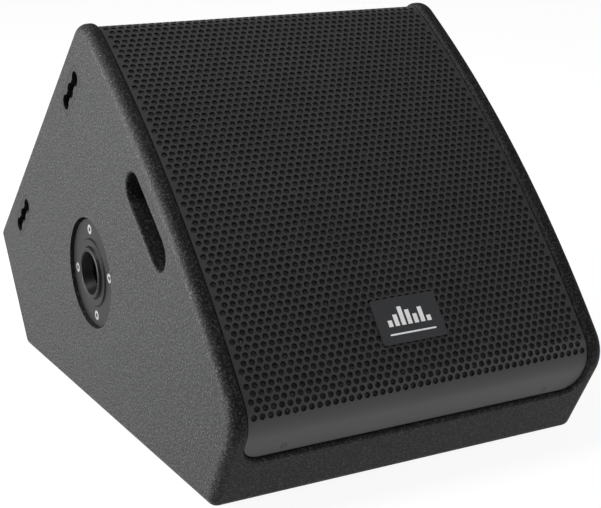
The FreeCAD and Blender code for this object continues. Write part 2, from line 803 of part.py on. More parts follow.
def mains_inlet():
    flange = round_box(48.0, 23.0, 0, 2.5, 4.0)
    body = box(inlet_width, inlet_height, -24.0, 0)
    cavity = round_box(inlet_width - 4.0, inlet_height - 4.0, -17.0, 4.0, 2.0)
    shape = flange.fuse(body).cut(cavity)
    blades = [box(2.0, 4.0, -20.0, -4.0, x, y) for x, y in ((-7.0, -1.5), (0.0, 2.0), (7.0, -1.5))]
    return moved(union([shape] + blades), Vector(across_left + 4.0, row_mains, 0))


rocker_width, rocker_height = 13.0, 19.0


def switch_frame():
    bezel = round_box(rocker_width + 8.0, rocker_height + 8.0, 0, 2.0, 2.0)
    body = box(rocker_width + 4.0, rocker_height + 4.0, -16.0, 0)
    well = box(rocker_width + 2 * running, rocker_height + 2 * running, -14.0, 4.0)
    return moved(bezel.fuse(body).cut(well), Vector(across_middle + 4.0, row_mains, 0))


rocker_tilt, rocker_axle = 12.0, -4.0


def rocker():
    """A see-saw paddle on an axle; it rests with one half pressed in."""
    reach, crown = rocker_height / 2 - 1.4, 3.2
    profile = [Vector(0, -reach, crown), Vector(0, 0, crown - 1.4), Vector(0, reach, crown),
               Vector(0, reach - 1.2, rocker_axle), Vector(0, 0, rocker_axle - 4.0),
               Vector(0, -reach + 1.2, rocker_axle)]
    body = across(polygon(profile), -rocker_width / 2, rocker_width / 2)
    body.rotate(Vector(0, 0, rocker_axle), Vector(1, 0, 0), -rocker_tilt)
    return moved(body, Vector(across_middle + 4.0, row_mains, 0))


def fuse_holder():
    cap = turned([(0, -18.0), (6.0, -18.0), (6.0, 0), (8.0, 0), (8.0, 2.0), (7.0, 3.0), (7.0, 6.0),
                  (6.0, 7.0), (0, 7.0)]).cut(box(12.0, 1.2, 5.8, 8.0))
    return moved(cap, Vector(across_right + 6.0, row_mains, 0))


def amp_plate(holes, screws):
    plate = round_box(amp_width, amp_height, plate_low, 0, amp_corner)
    return drilled(plate.cut(holes), screws)


# ------------------------------------------------------------------ inside
def wadding():
    length, start = 150.0, brace_back - 190.0
    width = 2 * half_inside - 20.0
    return Part.makeBox(width, length, wadding_thickness, Vector(-width / 2, start, panel))


def cable_path(points):
    """Straight runs joined by tangent arcs, as large as the runs allow."""
    edges, start = [], points[0]
    for before, at, after in zip(points, points[1:], points[2:]):
        enter, leave = (before - at).normalize(), (after - at).normalize()
        turn = math.pi - enter.getAngle(leave)
        reach = 0.45 * min((before - at).Length, (after - at).Length)
        radius = reach / math.tan(turn / 2)
        towards = (enter + leave).normalize()
        centre = at + towards * (radius / math.cos(turn / 2))
        first, last = at + enter * reach, at + leave * reach
        edges.append(line(start, first))
        edges.append(Part.Arc(first, centre - towards * radius, last).toShape())
        print("cable bend radius", round(radius, 1))
        start = last
    edges.append(line(start, points[-1]))
    return Part.Wire(edges)


def speaker_cable():
    """Two leads from the amplifier's case to a spoke of the driver's basket, inside the cabinet."""
    out = inward("rear_upper") * -1
    case = corner_t - along("rear_upper") * (amp_down - 40.0) + out * chassis_low
    spoke = Vector(-math.cos(math.radians(30)), 0, 0) + chord_up * math.sin(math.radians(30))
    normal = (spoke * 0.693 - chord_out * 0.721).normalize()
    wall = corner_n + chord_up * driver_up - chord_out * (baffle_sink + 40.0) + spoke * 121.5
    leads = []
    for shift in (-4.0, 4.0):
        aside = Vector(shift, 0, 0)
        start = Vector(-101.0, case.y, case.z)
        points = [start, start - out * 16.0, Vector(-112.0, 335.0, 204.0), Vector(-122.0, 302.0, 206.0),
                  Vector(-122.0, 270.0, 226.0), wall + normal * 20.0, wall]
        points = [point + aside for point in points]
        path = cable_path(points)
        face = Part.Face(Part.Wire(Part.makeCircle(cable_radius, points[0], out)))
        leads.append(path.makePipe(face))
    return together(leads)


# ------------------------------------------------------------------ the assembly
def build():
    block = cabinet_block()
    nodes = {}
    nodes["front_lower_panel"] = panel_between(block, "N", "B")
    nodes["bottom_panel"] = panel_between(block, "B", "C")
    nodes["rear_lower_panel"] = panel_between(block, "C", "D")
    nodes["rear_upper_panel"] = panel_between(block, "D", "T")
    slab = Part.makeBox(panel, 2000, 2000, Vector(-half_width, -1000, -1000))
    left = block.common(slab)
    right = mirrored(left)

    nodes["grille_screws"] = grille_screws()
    nodes["grille"] = drilled(grille(), nodes["grille_screws"])
    boards = [nodes["front_lower_panel"], nodes["rear_upper_panel"]]
    nodes["grille_foam"] = grille_foam(boards)
    nodes["front_lower_panel"] = nodes["front_lower_panel"].cut(nodes["grille_screws"])
    nodes["badge_plate"] = badge()

    nodes["rubber_feet"] = together(moved(foot(), at) for at in foot_places())
    nodes["foot_screws"] = together(moved(foot_screw(), at) for at in foot_places())
    nodes["bottom_panel"] = nodes["bottom_panel"].cut(nodes["rubber_feet"]).cut(nodes["foot_screws"])
    nodes["rubber_feet"] = nodes["rubber_feet"].cut(nodes["foot_screws"])

    nodes["corner_battens"] = battens()
    nodes["cross_brace"] = brace()
    nodes["damping_wadding"] = wadding()

    # side panels
    handle = on_side(handle_hole(), handle_back, handle_height, handle_angle)
    pole_at = (pole_back, pole_height, rear_upper_angle)
    nodes["pole_cup_screws"] = on_side(pole_screws(), *pole_at)
    nodes["pole_cup"] = drilled(on_side(pole_cup(), *pole_at), nodes["pole_cup_screws"])
    tracks, screws, plates, pockets = [], [], [], []
    for down in track_from_apex:
        screws.append(at_track(track_screws(), down))
        tracks.append(at_track(fly_track(), down).cut(screws[-1]))
        plates.append(at_track(nut_plate(), down).cut(screws[-1]))
        pockets.append(at_track(track_pocket(), down))
    for name, track in zip(("upper", "lower"), tracks):
        nodes["fly_track_left_" + name] = track
        nodes["fly_track_right_" + name] = mirrored(track)
    nodes["fly_track_screws"] = together(screws + [mirrored(group) for group in screws])
    nodes["track_nut_plates"] = together(plates + [mirrored(plate) for plate in plates])
    shared = [handle] + pockets + screws
    left_tools = shared + [on_side(pole_pocket(), *pole_at), nodes["pole_cup_screws"]]
    nodes["side_panel_left"] = left.cut(left_tools)
    nodes["side_panel_right"] = right.cut([mirrored(tool) for tool in shared])

    # baffle and what it carries
    front = {
        "woofer_gasket": ring(cutout_diameter / 2 + 0.5, flange_diameter / 2 - 1.0, 0, gasket_thickness),
        "woofer_basket": basket(), "woofer_surround": surround(), "woofer_cone": cone(),
        "voice_coil": voice_coil(), "woofer_spider": spider(), "magnet_plate": magnet_plate(),
        "woofer_magnet": magnet(), "pole_piece": pole_piece(), "horn_throat": horn(),
        "compression_driver": compression_driver(), "woofer_screws": woofer_screws(),
        "port_tube_left": port(-1), "port_tube_right": port(1),
    }
    for name, shape in front.items():
        nodes[name] = on_baffle(shape)
    hole = on_baffle(disc(cutout_diameter / 2, -baffle_board - 5, 5))
    ports = [on_baffle(disc(port_inner + port_wall, -baffle_board - 5, 5, side * port_across,
                            port_up - driver_up)) for side in (-1, 1)]
    nodes["baffle"] = baffle_board_shape().cut([hole] + ports).cut(nodes["woofer_screws"])
    for name in ("woofer_gasket", "woofer_basket"):
        nodes[name] = nodes[name].cut(nodes["woofer_screws"])

    # amplifier
    fitted = {
        "input_connector": input_connector(), "link_connector": link_connector(),
        "potentiometers": potentiometers(), "ground_button_housing": button_housing(),
        "status_lights": status_lights(), "mains_inlet": mains_inlet(),
        "power_switch_frame": switch_frame(), "fuse_holder": fuse_holder(),
        "amp_plate_screws": amp_screws(),
    }
    holes = [disc(connector_body, -9, 1, x, row_inputs) for x in (across_left, across_middle)]
    holes += [disc(4.8, -9, 1, x, y) for x, y in knob_places.values()]
    holes += [disc(5.0, -9, 1, across_middle, row_controls),
              box(inlet_width, inlet_height, -9, 1, across_left + 4.0, row_mains),
              box(rocker_width + 4.0, rocker_height + 4.0, -9, 1, across_middle + 4.0, row_mains),
              disc(6.0, -9, 1, across_right + 6.0, row_mains)]
    holes += [disc(2.4, -9, 1, across_left + x, row_controls) for x in (-8.0, 0.0, 8.0)]
    loose = {
        "amp_plate": amp_plate(holes, fitted["amp_plate_screws"]), "amp_heatsink": heatsink(),
        "amp_chassis": chassis(), "amp_board": board("amp", 26.0), "power_supply_board": board("supply", 20.0),
        "board_standoffs": standoffs(), "transformer": transformer(), "input_latch": latch(),
        "level_knob": knob("level"), "tone_knob": knob("tone"), "ground_lift_button": ground_button(),
        "power_switch_rocker": rocker(),
    }
    for name, shape in list(fitted.items()) + list(loose.items()):
        nodes[name] = on_back(shape)
    rear = nodes["rear_upper_panel"].cut(on_back(amp_opening()))
    nodes["rear_upper_panel"] = rear.cut(nodes["amp_plate_screws"])
    nodes["speaker_cable"] = speaker_cable()
    return nodes


def settle(nodes):
    """Put the origin on the floor under the middle of the cabinet."""
    front = corner("N", corner_radius["N"]).y - corner_radius["N"]
    back = corner("D", corner_radius["D"]).y + corner_radius["D"]
    offset = Vector(0, -(front + back) / 2, foot_height)
    print("cabinet depth", round(back - front, 2), "middle at", round((front + back) / 2, 3))
    return {name: moved(shape, offset) for name, shape in nodes.items()}


os.makedirs("parts", exist_ok=True)
for name, shape in sorted(settle(build()).items()):
    shape.exportStep("parts/" + name + ".step")
    print(name, len(shape.Solids), "solids", round(shape.Volume), "mm3", "" if shape.isValid() else "INVALID")
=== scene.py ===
import json
import math

import bpy
import numpy as np
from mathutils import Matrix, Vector


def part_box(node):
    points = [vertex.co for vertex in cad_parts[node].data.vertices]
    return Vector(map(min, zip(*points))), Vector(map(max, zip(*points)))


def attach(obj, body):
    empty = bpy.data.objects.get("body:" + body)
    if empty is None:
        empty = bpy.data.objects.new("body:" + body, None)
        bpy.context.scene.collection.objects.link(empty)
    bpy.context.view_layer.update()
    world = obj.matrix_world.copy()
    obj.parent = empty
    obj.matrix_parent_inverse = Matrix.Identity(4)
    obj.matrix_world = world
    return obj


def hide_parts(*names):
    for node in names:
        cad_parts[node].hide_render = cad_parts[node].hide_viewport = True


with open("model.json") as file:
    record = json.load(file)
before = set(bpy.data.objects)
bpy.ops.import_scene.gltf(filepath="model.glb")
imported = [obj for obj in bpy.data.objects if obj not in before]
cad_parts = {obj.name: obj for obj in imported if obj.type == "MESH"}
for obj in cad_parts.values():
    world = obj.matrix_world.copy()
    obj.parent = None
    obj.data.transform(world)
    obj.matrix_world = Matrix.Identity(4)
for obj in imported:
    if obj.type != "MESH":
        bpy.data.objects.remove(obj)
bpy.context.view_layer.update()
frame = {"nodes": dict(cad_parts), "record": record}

nodes = frame["nodes"]
print("frame loaded", len(nodes), "nodes")

# ---------------------------------------------------------------- camera, floor and light
view = {"lens": 88.02, "turn": 28.83, "tip": 15.93, "place": (-0.7122, -1.3592, 0.5848)}
studio = {
    "floor": (0.09, 0.09, 0.09), "glow": (1.0, 1.0, 1.0), "floorGlow": 0.92, "floorReach": 16.0,
    "sky": (1.0, 1.0, 1.0), "skyStrength": 0.26,
    "keyPlace": (-2.2, 0.9, 0.62), "keySize": 1.3, "keyPower": 200.0,
    "topPlace": (-1.1, 0.1, 2.3), "topSize": 1.2, "topPower": 46.0,
    "sidePlace": (1.7, -1.9, 0.85), "sideSize": 0.5, "sidePower": 5.0,
}


def placeCamera():
    camera = bpy.data.objects.new("camera", bpy.data.cameras.new("camera"))
    camera.data.lens = view["lens"]
    camera.data.sensor_width = 36.0
    camera.data.clip_start = 0.05
    camera.location = view["place"]
    camera.rotation_euler = (math.radians(90 - view["tip"]), 0, -math.radians(view["turn"]))
    bpy.context.scene.collection.objects.link(camera)
    bpy.context.scene.camera = camera


def softbox(name, place, size, power):
    lamp = bpy.data.lights.new(name, "AREA")
    lamp.shape = "DISK"
    lamp.size = size
    lamp.energy = power
    lampObject = bpy.data.objects.new(name, lamp)
    lampObject.location = place
    aim = Vector((0, 0, 0.15)) - Vector(place)
    lampObject.rotation_euler = aim.to_track_quat("-Z", "Y").to_euler()
    bpy.context.scene.collection.objects.link(lampObject)


def lightStudio():
    world = bpy.data.worlds.new("studio")
    world.use_nodes = True
    background = world.node_tree.nodes["Background"]
    background.inputs["Color"].default_value = studio["sky"] + (1.0,)
    background.inputs["Strength"].default_value = studio["skyStrength"]
    bpy.context.scene.world = world
    for lamp in ("key", "top", "side"):
        softbox(lamp, studio[lamp + "Place"], studio[lamp + "Size"], studio[lamp + "Power"])


placeCamera()
lightStudio()
bpy.context.scene.view_settings.view_transform = "Standard"
print("camera and lights placed")


# ---------------------------------------------------------------- shader maths
class Value:
    # one socket that takes part in Python arithmetic, each step adding a Math node
    def __init__(self, tree, socket):
        self.tree = tree
        self.socket = socket

    def math(self, operation, first, second=0.0):
        node = self.tree.nodes.new("ShaderNodeMath")
        node.operation = operation
        feed(self.tree, node.inputs[0], first)
        feed(self.tree, node.inputs[1], second)
        return Value(self.tree, node.outputs[0])

    def __add__(self, other):
        return self.math("ADD", self, other)

    def __radd__(self, other):
        return self.math("ADD", other, self)

    def __mul__(self, other):
        return self.math("MULTIPLY", self, other)

    def __rmul__(self, other):
        return self.math("MULTIPLY", other, self)


def feed(tree, socket, item):
    if isinstance(item, Value):
        tree.links.new(item.socket, socket)
    elif isinstance(item, tuple) and len(item) == 3 and socket.type == "RGBA":
        socket.default_value = item + (1.0,)
    else:
        socket.default_value = item


class Finish:
    # a material with one Principled shader; whatever varies is fed to its sockets
    def __init__(self, name, color, roughness, **fixed):
        self.material = bpy.data.materials.new(name)
        self.material.use_nodes = True
        self.tree = self.material.node_tree
        self.shader = self.tree.nodes["Principled BSDF"]
        self.set("Base Color", color)
        self.set("Roughness", roughness)
        for key, value in fixed.items():
            self.set(key, value)
        self.place = self.add("ShaderNodeTexCoord", output="Object")

    def set(self, socket, item):
        feed(self.tree, self.shader.inputs[socket], item)

    def add(self, kind, settings=None, sockets=None, output=0):
        node = self.tree.nodes.new(kind)
        for key, item in (settings or {}).items():
            if key == "stops":
                fillRamp(node.color_ramp, item)
            else:
                setattr(node, key, item)
        for key, item in (sockets or {}).items():
            feed(self.tree, node.inputs[key], item)
        return Value(self.tree, node.outputs[output])

    def stretched(self, x, y, z):
        return self.add("ShaderNodeMapping", sockets={"Vector": self.place, "Scale": (x, y, z)})

    def noise(self, scale, detail=3.0, rough=0.55, vector=None):
        return self.add("ShaderNodeTexNoise", sockets={
            "Vector": vector or self.place, "Scale": scale, "Detail": detail, "Roughness": rough})

    def cells(self, scale, **settings):
        return self.add("ShaderNodeTexVoronoi", settings, {"Vector": self.place, "Scale": scale})

    def ramp(self, value, stops):
        return self.add("ShaderNodeValToRGB", {"stops": stops}, {"Fac": value})

    def blend(self, mask, first, second):
        return self.add("ShaderNodeMix", {"data_type": "RGBA"}, {0: mask, 6: first, 7: second}, 2)

    def axes(self):
        parts = self.tree.nodes.new("ShaderNodeSeparateXYZ")
        self.tree.links.new(self.place.socket, parts.inputs[0])
        return [Value(self.tree, out) for out in parts.outputs]

    def bump(self, height, strength, distance):
        self.set("Normal", self.add("ShaderNodeBump", sockets={
            "Height": height, "Strength": strength, "Distance": distance}))
        return self.material


def fillRamp(ramp, stops):
    while len(ramp.elements) < len(stops):
        ramp.elements.new(0.5)
    for element, (at, shade) in zip(ramp.elements, stops):
        element.position = at
        element.color = (shade, shade, shade, 1.0)


# ---------------------------------------------------------------- finishes of the cabinet
paintLook = {
    "dark": (0.0035, 0.0035, 0.0038), "pale": (0.048, 0.049, 0.05), "shine": 0.1,
    "speck": 480.0, "grain": 1200.0, "drift": 9.0,
}


def texturedPaint():
    # height = 0.6 of a 2 mm noise plus 0.4 of a 1 mm noise; colour = dark, with a painted highlight (paler)
    # where that height peaks, plus a slow drift in tone
    finish = Finish("texturedPaint", paintLook["dark"], 0.6)
    speck = finish.noise(paintLook["speck"], 3.0, 0.6)
    grain = finish.noise(paintLook["grain"], 3.0, 0.7)
    drift = finish.noise(paintLook["drift"], 2.0)
    finish.set("Specular IOR Level", paintLook["shine"])
    height = speck * 0.6 + grain * 0.4
    # painted highlight: the bump peaks get the pale colour as if they caught the light
    peakHighlights = finish.ramp(height, [(0.5, 0.0), (0.62, 1.0)])
    finish.set("Base Color", finish.blend(peakHighlights * 0.85 + drift * 0.1, paintLook["dark"], paintLook["pale"]))
    finish.set("Roughness", 0.34 + grain * 0.22 + drift * 0.08)
    return finish.bump(height, 0.7, 0.0012)


def powderCoat():
    # colour = black with a faint drift; height = fine noise about 0.5 mm across
    finish = Finish("powderCoat", (0.02, 0.02, 0.021), 0.45)
    grain = finish.noise(1900.0, 3.0)
    drift = finish.noise(14.0, 2.0)
    finish.set("Base Color", finish.blend(drift, (0.016, 0.016, 0.0165), (0.03, 0.03, 0.031)))
    finish.set("Roughness", 0.36 + grain * 0.16 + drift * 0.06)
    return finish.bump(grain, 0.25, 0.0002)


def openFoam():
    # colour = black with a few pale struts where the cell edges are thin, painted highlights on the foam;
    # height = cell walls
    finish = Finish("openFoam", (0.008, 0.008, 0.008), 0.9)
    walls = finish.cells(700.0, feature="DISTANCE_TO_EDGE")
    litStruts = finish.ramp(walls, [(0.02, 1.0), (0.09, 0.0)])
    highlightPatch = finish.ramp(finish.noise(260.0, 2.0), [(0.5, 0.0), (0.72, 1.0)])
    # painted highlight: the pale grey marks lit strut edges, the black between them stands for shade in the
    # pores
    finish.set("Base Color", finish.blend(litStruts * highlightPatch, (0.006, 0.006, 0.006), (0.09, 0.09, 0.09)))
    return finish.bump(walls, 0.9, 0.001)


def bareWood(name, pale, dark):
    # colour = growth rings: waves across Y bent by noise, mixed with fibres; height = the fibres, long in X
    finish = Finish(name, pale, 0.6)
    long = finish.stretched(4.0, 40.0, 40.0)
    fibre = finish.noise(9.0, 5.0, 0.6, long)
    rings = finish.add("ShaderNodeTexWave", {"bands_direction": "Y"}, {
        "Vector": long, "Scale": 0.35, "Distortion": 6.0, "Detail": 3.0})
    finish.set("Base Color", finish.blend(rings * 0.6 + fibre * 0.4, pale, dark))
    finish.set("Roughness", 0.5 + fibre * 0.25)
    return finish.bump(fibre, 0.3, 0.0004)


def mouldedPlastic(name, color, roughness, grain=1500.0, strength=0.12, shine=0.5):
    # one colour with a faint drift; height = a fine spark-eroded grain
    finish = Finish(name, color, roughness)
    finish.set("Specular IOR Level", shine)
    texture = finish.noise(grain, 2.0)
    drift = finish.noise(30.0, 2.0)
    darker = tuple(part * 0.8 for part in color)
    finish.set("Base Color", finish.blend(drift, darker, color))
    finish.set("Roughness", texture * 0.12 + drift * 0.08 + (roughness - 0.1))
    return finish.bump(texture, strength, 0.0002)


def castMetal(name, color, roughness, metallic=0.0, shine=0.5):
    # one colour; height and roughness = soft pits about 2 mm across
    finish = Finish(name, color, roughness, Metallic=metallic)
    finish.set("Specular IOR Level", shine)
    pits = finish.noise(420.0, 4.0, 0.65)
    finish.set("Roughness", pits * 0.2 + (roughness - 0.1))
    return finish.bump(pits, 0.3, 0.0004)


def platedSteel(name, color, roughness):
    # bare plated metal: rolled streaks along X, a little tarnish
    finish = Finish(name, color, roughness, Metallic=1.0)
    streaks = finish.noise(6.0, 4.0, 0.6, finish.stretched(8.0, 220.0, 220.0))
    tarnish = finish.noise(55.0, 3.0)
    dull = tuple(part * 0.62 for part in color)
    finish.set("Base Color", finish.blend(tarnish, dull, color))
    finish.set("Roughness", streaks * 0.2 + tarnish * 0.1 + (roughness - 0.12))
    return finish.bump(streaks, 0.1, 0.0001)


def mouldedRubber():
    # colour = black, paler where a dust noise is high; height = a fine noise
    finish = Finish("rubber", (0.02, 0.02, 0.02), 0.8)
    dust = finish.noise(90.0, 4.0)
    finish.set("Base Color", finish.blend(dust, (0.014, 0.014, 0.014), (0.04, 0.039, 0.037)))
    finish.set("Roughness", 0.7 + dust * 0.2)
    return finish.bump(finish.noise(900.0, 2.0), 0.25, 0.0003)


def wovenCloth(name, thread, gap, pitch=900.0):
    # two crossed sine waves make the weave: height = their product
    finish = Finish(name, thread, 0.85)
    x, y, z = finish.axes()
    warp = x.math("SINE", x * (pitch * math.tau))
    weft = y.math("SINE", (y + z) * (pitch * math.tau / math.sqrt(2)))
    weave = (warp * weft) * 0.5 + 0.5
    finish.set("Base Color", finish.blend(weave, gap, thread))
    return finish.bump(weave, 0.4, 0.0003)


def circuitBoard():
    # solder mask with copper tracks: bands of a square cell pattern
    finish = Finish("circuitBoard", (0.01, 0.11, 0.05), 0.4)
    cells = finish.cells(160.0, distance="CHEBYCHEV")
    tracks = finish.ramp(cells, [(0.4, 0.0), (0.44, 1.0)])
    finish.set("Base Color", finish.blend(tracks, (0.008, 0.09, 0.04), (0.03, 0.24, 0.1)))
    finish.set("Roughness", 0.35 + tracks * 0.2)
    return finish.bump(tracks, 0.2, 0.0002)


def clearLens():
    # green lens, lit from inside: the glow drifts between two greens with a noise
    finish = Finish("clearLens", (0.1, 0.7, 0.2), 0.15)
    glow = finish.noise(400.0, 1.0)
    finish.set("Emission Strength", 0.6)
    finish.set("Emission Color", finish.blend(glow, (0.05, 0.5, 0.12), (0.2, 0.9, 0.3)))
    return finish.material


finishes = {
    "painted_plywood": texturedPaint(),
    "bare_plywood": bareWood("barePlywood", (0.62, 0.47, 0.30), (0.42, 0.29, 0.16)),
    "stained_plywood": bareWood("stainedPlywood", (0.03, 0.03, 0.03), (0.012, 0.012, 0.012)),
    "grille_steel": powderCoat(),
    "grille_foam": openFoam(),
    "badge": mouldedPlastic("badgePlate", (0.03, 0.031, 0.034), 0.38),
    "black_screw": castMetal("blackScrew", (0.02, 0.02, 0.02), 0.4, 0.6),
    "bright_screw": platedSteel("zincScrew", (0.36, 0.36, 0.37), 0.32),
    "pole_cup": mouldedPlastic("poleCup", (0.0035, 0.0035, 0.0038), 0.42, shine=0.1),
    "track_steel": castMetal("trackSteel", (0.006, 0.006, 0.0063), 0.5, shine=0.15),
    "plain_steel": platedSteel("plainSteel", (0.5, 0.5, 0.51), 0.4),
    "rubber": mouldedRubber(),
    "basket": castMetal("castBasket", (0.025, 0.025, 0.026), 0.55),
    "surround": wovenCloth("surroundCloth", (0.02, 0.02, 0.02), (0.008, 0.008, 0.008)),
    "cone_paper": castMetal("conePaper", (0.02, 0.02, 0.02), 0.75),
    "coil": platedSteel("coilWire", (0.72, 0.42, 0.2), 0.35),
    "spider_cloth": wovenCloth("spiderCloth", (0.5, 0.33, 0.12), (0.3, 0.18, 0.06)),
    "ferrite": castMetal("ferrite", (0.06, 0.06, 0.065), 0.5),
    "horn": mouldedPlastic("hornPlastic", (0.02, 0.02, 0.02), 0.4),
    "amp_plate": mouldedPlastic("blackAnodised", (0.028, 0.028, 0.03), 0.38, 2600.0, 0.06),
    "circuit_board": circuitBoard(),
    "standoff": platedSteel("brassPost", (0.75, 0.58, 0.27), 0.3),
    "transformer": wovenCloth("windingTape", (0.5, 0.26, 0.07), (0.28, 0.13, 0.03), 500.0),
    "connector": mouldedPlastic("connectorShell", (0.03, 0.03, 0.031), 0.45),
    "latch": platedSteel("nickelTab", (0.6, 0.6, 0.6), 0.3),
    "knob": mouldedPlastic("softKnob", (0.04, 0.04, 0.042), 0.6),
    "potentiometer": platedSteel("platedCase", (0.5, 0.5, 0.5), 0.35),
    "button": mouldedPlastic("redButton", (0.45, 0.05, 0.03), 0.4),
    "rocker": mouldedPlastic("rockerPaddle", (0.03, 0.03, 0.03), 0.25),
    "light": clearLens(),
    "cable": mouldedPlastic("cableSheath", (0.03, 0.03, 0.03), 0.5),
    "wadding": wovenCloth("wadding", (0.75, 0.75, 0.72), (0.5, 0.5, 0.48), 120.0),
}


def wear(target, material):
    target.data.materials.clear()
    target.data.materials.append(material)


for part in frame["record"]["subparts"]:
    wear(nodes[part["node"]], finishes[part["material_slot"]])
print("finishes made", len(finishes))


# ---------------------------------------------------------------- floor
def makeFloor():
    reach = studio["floorReach"]
    mesh = bpy.data.meshes.new("floor")
    corners = [(-reach, -reach, 0), (reach, -reach, 0), (reach, reach, 0), (-reach, reach, 0)]
    mesh.from_pydata(corners, [], [(0, 1, 2, 3)])
    floor = bpy.data.objects.new("floor", mesh)
    bpy.context.scene.collection.objects.link(floor)
    finish = Finish("paleFloor", studio["floor"], 0.9)
    finish.set("Roughness", 0.85 + finish.noise(3.0) * 0.1)
    finish.set("Emission Color", studio["glow"])
    finish.set("Emission Strength", studio["floorGlow"])
    wear(floor, finish.material)


makeFloor()


# ---------------------------------------------------------------- perforated grille
sheet = {
    "frontRadius": 1.230, "noseRadius": 0.035, "apexRadius": 0.030, "sink": 0.0035, "thick": 0.0015,
    "lowerAngle": 118.95, "upperAngle": 135.8, "noseToApex": (0.292659, 0.280567),
    "stripRun": 0.025456, "tailRun": 0.018144, "stripCorner": 0.018, "tailCorner": 0.0075,
    "pitch": 0.00815, "hole": 0.00305, "sides": 12, "columns": 45,
    "rise": 0.0064, "clear": 0.0064, "fine": 0.003,
}


def sheetSections():
    # three circles that touch: nose, front and apex. The sheet's face runs round them, with a straight run
    # at each end. Every section is (length, centre, radius, first and last angle of its normal)
    low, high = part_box("grille")
    noseR, frontR, apexR = (sheet[key] - sheet["sink"] for key in ("noseRadius", "frontRadius", "apexRadius"))
    across, rise = sheet["noseToApex"]
    nose = np.array([low.y + noseR, high.z - apexR - rise])
    apex = nose + (across, rise)
    gap = apex - nose
    near, far = frontR - noseR, frontR - apexR
    reach = (near ** 2 - far ** 2 + gap @ gap) / (2 * math.sqrt(gap @ gap))
    unit = gap / math.sqrt(gap @ gap)
    front = nose + unit * reach + np.array([unit[1], -unit[0]]) * math.sqrt(near ** 2 - reach ** 2)
    lower = math.radians(sheet["lowerAngle"] + 90)
    upper = math.radians(sheet["upperAngle"] - 90)
    noseTurn = math.atan2(*(nose - front)[::-1])
    apexTurn = math.atan2(*(apex - front)[::-1])
    return [(sheet["stripRun"], nose, noseR, lower, lower),
            (noseR * (lower - noseTurn), nose, noseR, lower, noseTurn),
            (frontR * (noseTurn - apexTurn), front, frontR, noseTurn, apexTurn),
            (apexR * (apexTurn - upper), apex, apexR, apexTurn, upper),
            (sheet["tailRun"], apex, apexR, upper, upper)]


sections = sheetSections()
noseStart = sections[0][0] + sections[1][2] * (sections[1][3] - math.pi)
sheetLow, sheetHigh = -noseStart, sum(part[0] for part in sections) - noseStart


def onSheet(x, along, lift=0.0):
    # a point of the sheet's face: x across, along = length up the profile from the foremost point of the nose
    travel = np.asarray(along, float) + noseStart
    place, start = np.zeros((travel.size, 2)), 0.0
    normal = np.zeros((travel.size, 2))
    for index, (length, centre, radius, first, last) in enumerate(sections):
        inside = (travel >= start - 1e-9) | (index == 0)
        run = travel[inside] - start
        turn = first + (last - first) * run / length
        face = np.stack([np.cos(turn), np.sin(turn)], 1)
        point = centre + face * radius
        if first == last:
            offset = run - length if index == 0 else run
            point = point + np.outer(offset, (math.sin(first), -math.cos(first)))
        place[inside], normal[inside] = point, face
        start += length
    spot = place + normal * np.asarray(lift).reshape(-1, 1)
    return np.column_stack([np.broadcast_to(x, travel.shape), spot])


def meshPiece(name, points, faces):
    mesh = bpy.data.meshes.new(name)
    mesh.from_pydata(points.tolist(), [], faces)
    mesh.update()
    piece = bpy.data.objects.new(name, mesh)
    bpy.context.scene.collection.objects.link(piece)
    return piece


def bakeModifiers(piece, smoothAngle=35.0):
    # the piece keeps its shape without its modifiers; edges flatter than the angle shade smooth
    ready = piece.evaluated_get(bpy.context.evaluated_depsgraph_get())
    mesh = bpy.data.meshes.new_from_object(ready)
    piece.modifiers.clear()
    piece.data = mesh
    mesh.polygons.foreach_set("use_smooth", np.ones(len(mesh.polygons), bool))
    mesh.set_sharp_from_angle(angle=math.radians(smoothAngle))


def thicken(piece, depth):
    # the points stay on the outer face and the thickness goes inwards
    solid = piece.modifiers.new("thickness", "SOLIDIFY")
    solid.thickness = depth
    solid.offset = -1.0
    bakeModifiers(piece)


def finishPiece(piece, body, material):
    wear(piece, material)
    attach(piece, body)


def hexCells(columns, rows):
    # centres of a triangular lattice: even rows have all the columns, odd rows one fewer, half a pitch over
    pitch = sheet["pitch"]
    row = np.repeat(np.arange(rows), columns)
    column = np.tile(np.arange(columns), rows)
    keep = (row % 2 == 0) | (column < columns - 1)
    row, column = row[keep], column[keep]
    x = (column - (columns - 1) / 2 + 0.5 * (row % 2)) * pitch
    return x, row * pitch * math.sqrt(3) / 2


def punchedFaces(x, along):
    # each cell is a hexagon with a twelve-sided hole: six five-cornered faces between them
    steps = np.arange(6)
    corner = math.radians(30) + steps * math.pi / 3
    outer = sheet["pitch"] / math.sqrt(3)
    sides = sheet["sides"]
    rim = math.radians(30) + np.arange(sides) * 2 * math.pi / sides
    centre = np.stack([x, along], 1)[:, None, :]
    hexagon = centre + outer * np.stack([np.cos(corner), np.sin(corner)], 1)
    circle = centre + sheet["hole"] * np.stack([np.cos(rim), np.sin(rim)], 1)
    following = (steps + 1) % 6
    inner = [circle[:, (2 * steps + back) % sides] for back in (2, 1, 0)]
    return np.stack([hexagon[:, steps], hexagon[:, following]] + inner, 2).reshape(-1, 5, 2)


def quads(firstX, firstAlong, secondX, secondAlong):
    # faces between two rows of points, the second row above the first
    first, second = np.stack([firstX, firstAlong], 1), np.stack([secondX, secondAlong], 1)
    return np.stack([first[:-1], first[1:], second[1:], second[:-1]], 1)


